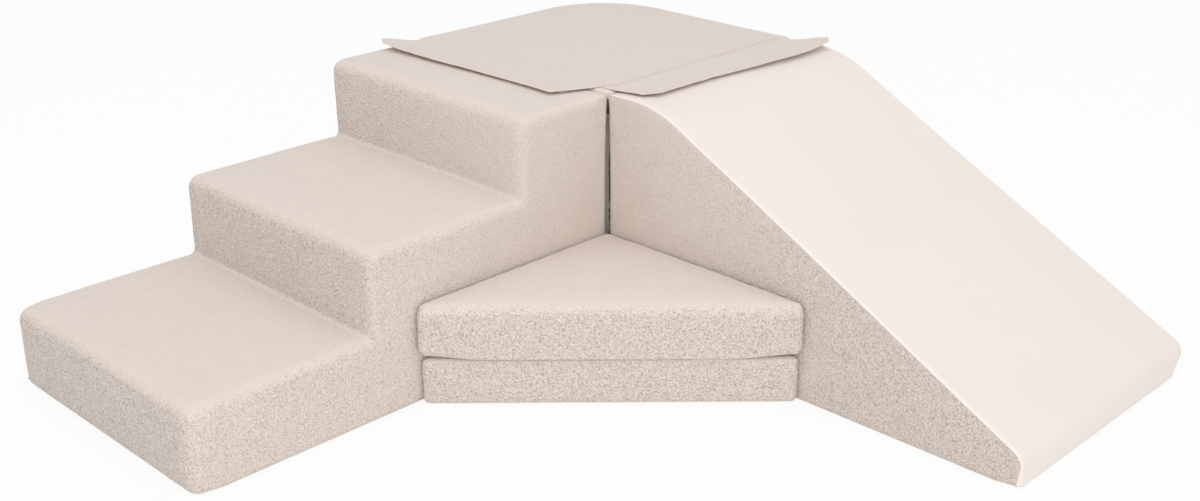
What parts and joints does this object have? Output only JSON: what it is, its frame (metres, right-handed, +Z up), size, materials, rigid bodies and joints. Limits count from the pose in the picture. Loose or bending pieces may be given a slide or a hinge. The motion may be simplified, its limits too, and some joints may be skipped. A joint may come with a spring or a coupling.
{
  "type": "soft play foam climber",
  "caption": "Padded stairs, a square corner block and a slide ramp set round a corner, with stacked triangular mats, zipped cloth covers and hook-and-loop flaps.",
  "frame": {"origin": "on the floor, under the middle of the whole climber's box", "axes": "+Z up; +X the way the ramp runs down from the corner block; -Y the way the stairs run down from it"},
  "size_m": [1.432, 1.452, 0.4625],
  "materials": {
    "boucle_cloth": "matte",
    "smooth_cloth": "matte",
    "slide_leatherette": "satin",
    "non_slip_cloth": "matte",
    "foam": "matte",
    "strip_nylon": "matte",
    "zip_nylon": "satin",
    "slider_metal": "satin"
  },
  "bodies": {
    "corner_block": {"block_foam_core": "foam", "block_cover": "boucle_cloth", "block_top_panel": "smooth_cloth", "block_base_panel": "non_slip_cloth", "block_zip": "zip_nylon", "stairs_flap_sewn_strip": "smooth_cloth", "ramp_flap_sewn_strip": "smooth_cloth"},
    "stairs": {"stairs_foam_lower_slab": "foam", "stairs_foam_middle_slab": "foam", "stairs_foam_upper_slab": "foam", "stairs_cover": "boucle_cloth", "stairs_base_panel": "non_slip_cloth", "stairs_zip": "zip_nylon", "stairs_flap_loop_strip": "strip_nylon"},
    "ramp": {"ramp_foam_core": "foam", "ramp_cover": "boucle_cloth", "ramp_slide_panel": "slide_leatherette", "ramp_base_panel": "non_slip_cloth", "ramp_zip": "zip_nylon", "ramp_flap_loop_strip": "strip_nylon"},
    "lower_mat": {"lower_mat_foam_core": "foam", "lower_mat_cover": "boucle_cloth", "lower_mat_base_panel": "non_slip_cloth", "lower_mat_zip": "zip_nylon"},
    "upper_mat": {"upper_mat_foam_core": "foam", "upper_mat_cover": "boucle_cloth", "upper_mat_base_panel": "non_slip_cloth", "upper_mat_zip": "zip_nylon"},
    "stairs_flap": {"stairs_flap": "smooth_cloth", "stairs_flap_hook_strip": "strip_nylon"},
    "ramp_flap": {"ramp_flap": "smooth_cloth", "ramp_flap_hook_strip": "strip_nylon"},
    "block_zip_slider": {"block_zip_slider": "slider_metal"},
    "stairs_zip_slider": {"stairs_zip_slider": "slider_metal"},
    "ramp_zip_slider": {"ramp_zip_slider": "slider_metal"},
    "lower_mat_zip_slider": {"lower_mat_zip_slider": "slider_metal"},
    "upper_mat_zip_slider": {"upper_mat_zip_slider": "slider_metal"}
  },
  "joints": [
    {"name": "stairs_separation", "type": "slide", "parent": "corner_block", "child": "stairs", "axis": [0, -1, 0], "range_m": [0, 0.3]},
    {"name": "ramp_separation", "type": "slide", "parent": "corner_block", "child": "ramp", "axis": [1, 0, 0], "range_m": [0, 0.3]},
    {"name": "lower_mat_pull_out", "type": "slide", "parent": "corner_block", "child": "lower_mat", "axis": [0.7071, -0.7071, 0], "range_m": [0, 0.3]},
    {"name": "upper_mat_lift", "type": "slide", "parent": "lower_mat", "child": "upper_mat", "axis": [0, 0, 1], "range_m": [0, 0.25]},
    {"name": "stairs_flap_hinge", "type": "hinge", "parent": "corner_block", "child": "stairs_flap", "pos_m": [-0.4476, 0.1966, 0.4558], "axis": [-1, 0, 0], "range_deg": [0, 110]},
    {"name": "ramp_flap_hinge", "type": "hinge", "parent": "corner_block", "child": "ramp_flap", "pos_m": [-0.1866, 0.4576, 0.4558], "axis": [0, -1, 0], "range_deg": [0, 110]},
    {"name": "block_zip_run", "type": "slide", "parent": "corner_block", "child": "block_zip_slider", "axis": [-1, 0, 0], "range_m": [0, 0.2915]},
    {"name": "stairs_zip_run", "type": "slide", "parent": "stairs", "child": "stairs_zip_slider", "axis": [0, -1, 0], "range_m": [0, 0.6315]},
    {"name": "ramp_zip_run", "type": "slide", "parent": "ramp", "child": "ramp_zip_slider", "axis": [-1, 0, 0], "range_m": [0, 0.5715]},
    {"name": "lower_mat_zip_run", "type": "slide", "parent": "lower_mat", "child": "lower_mat_zip_slider", "axis": [0, -1, 0], "range_m": [0, 0.2315]},
    {"name": "upper_mat_zip_run", "type": "slide", "parent": "upper_mat", "child": "upper_mat_zip_slider", "axis": [0, -1, 0], "range_m": [0, 0.2315]}
  ]
}
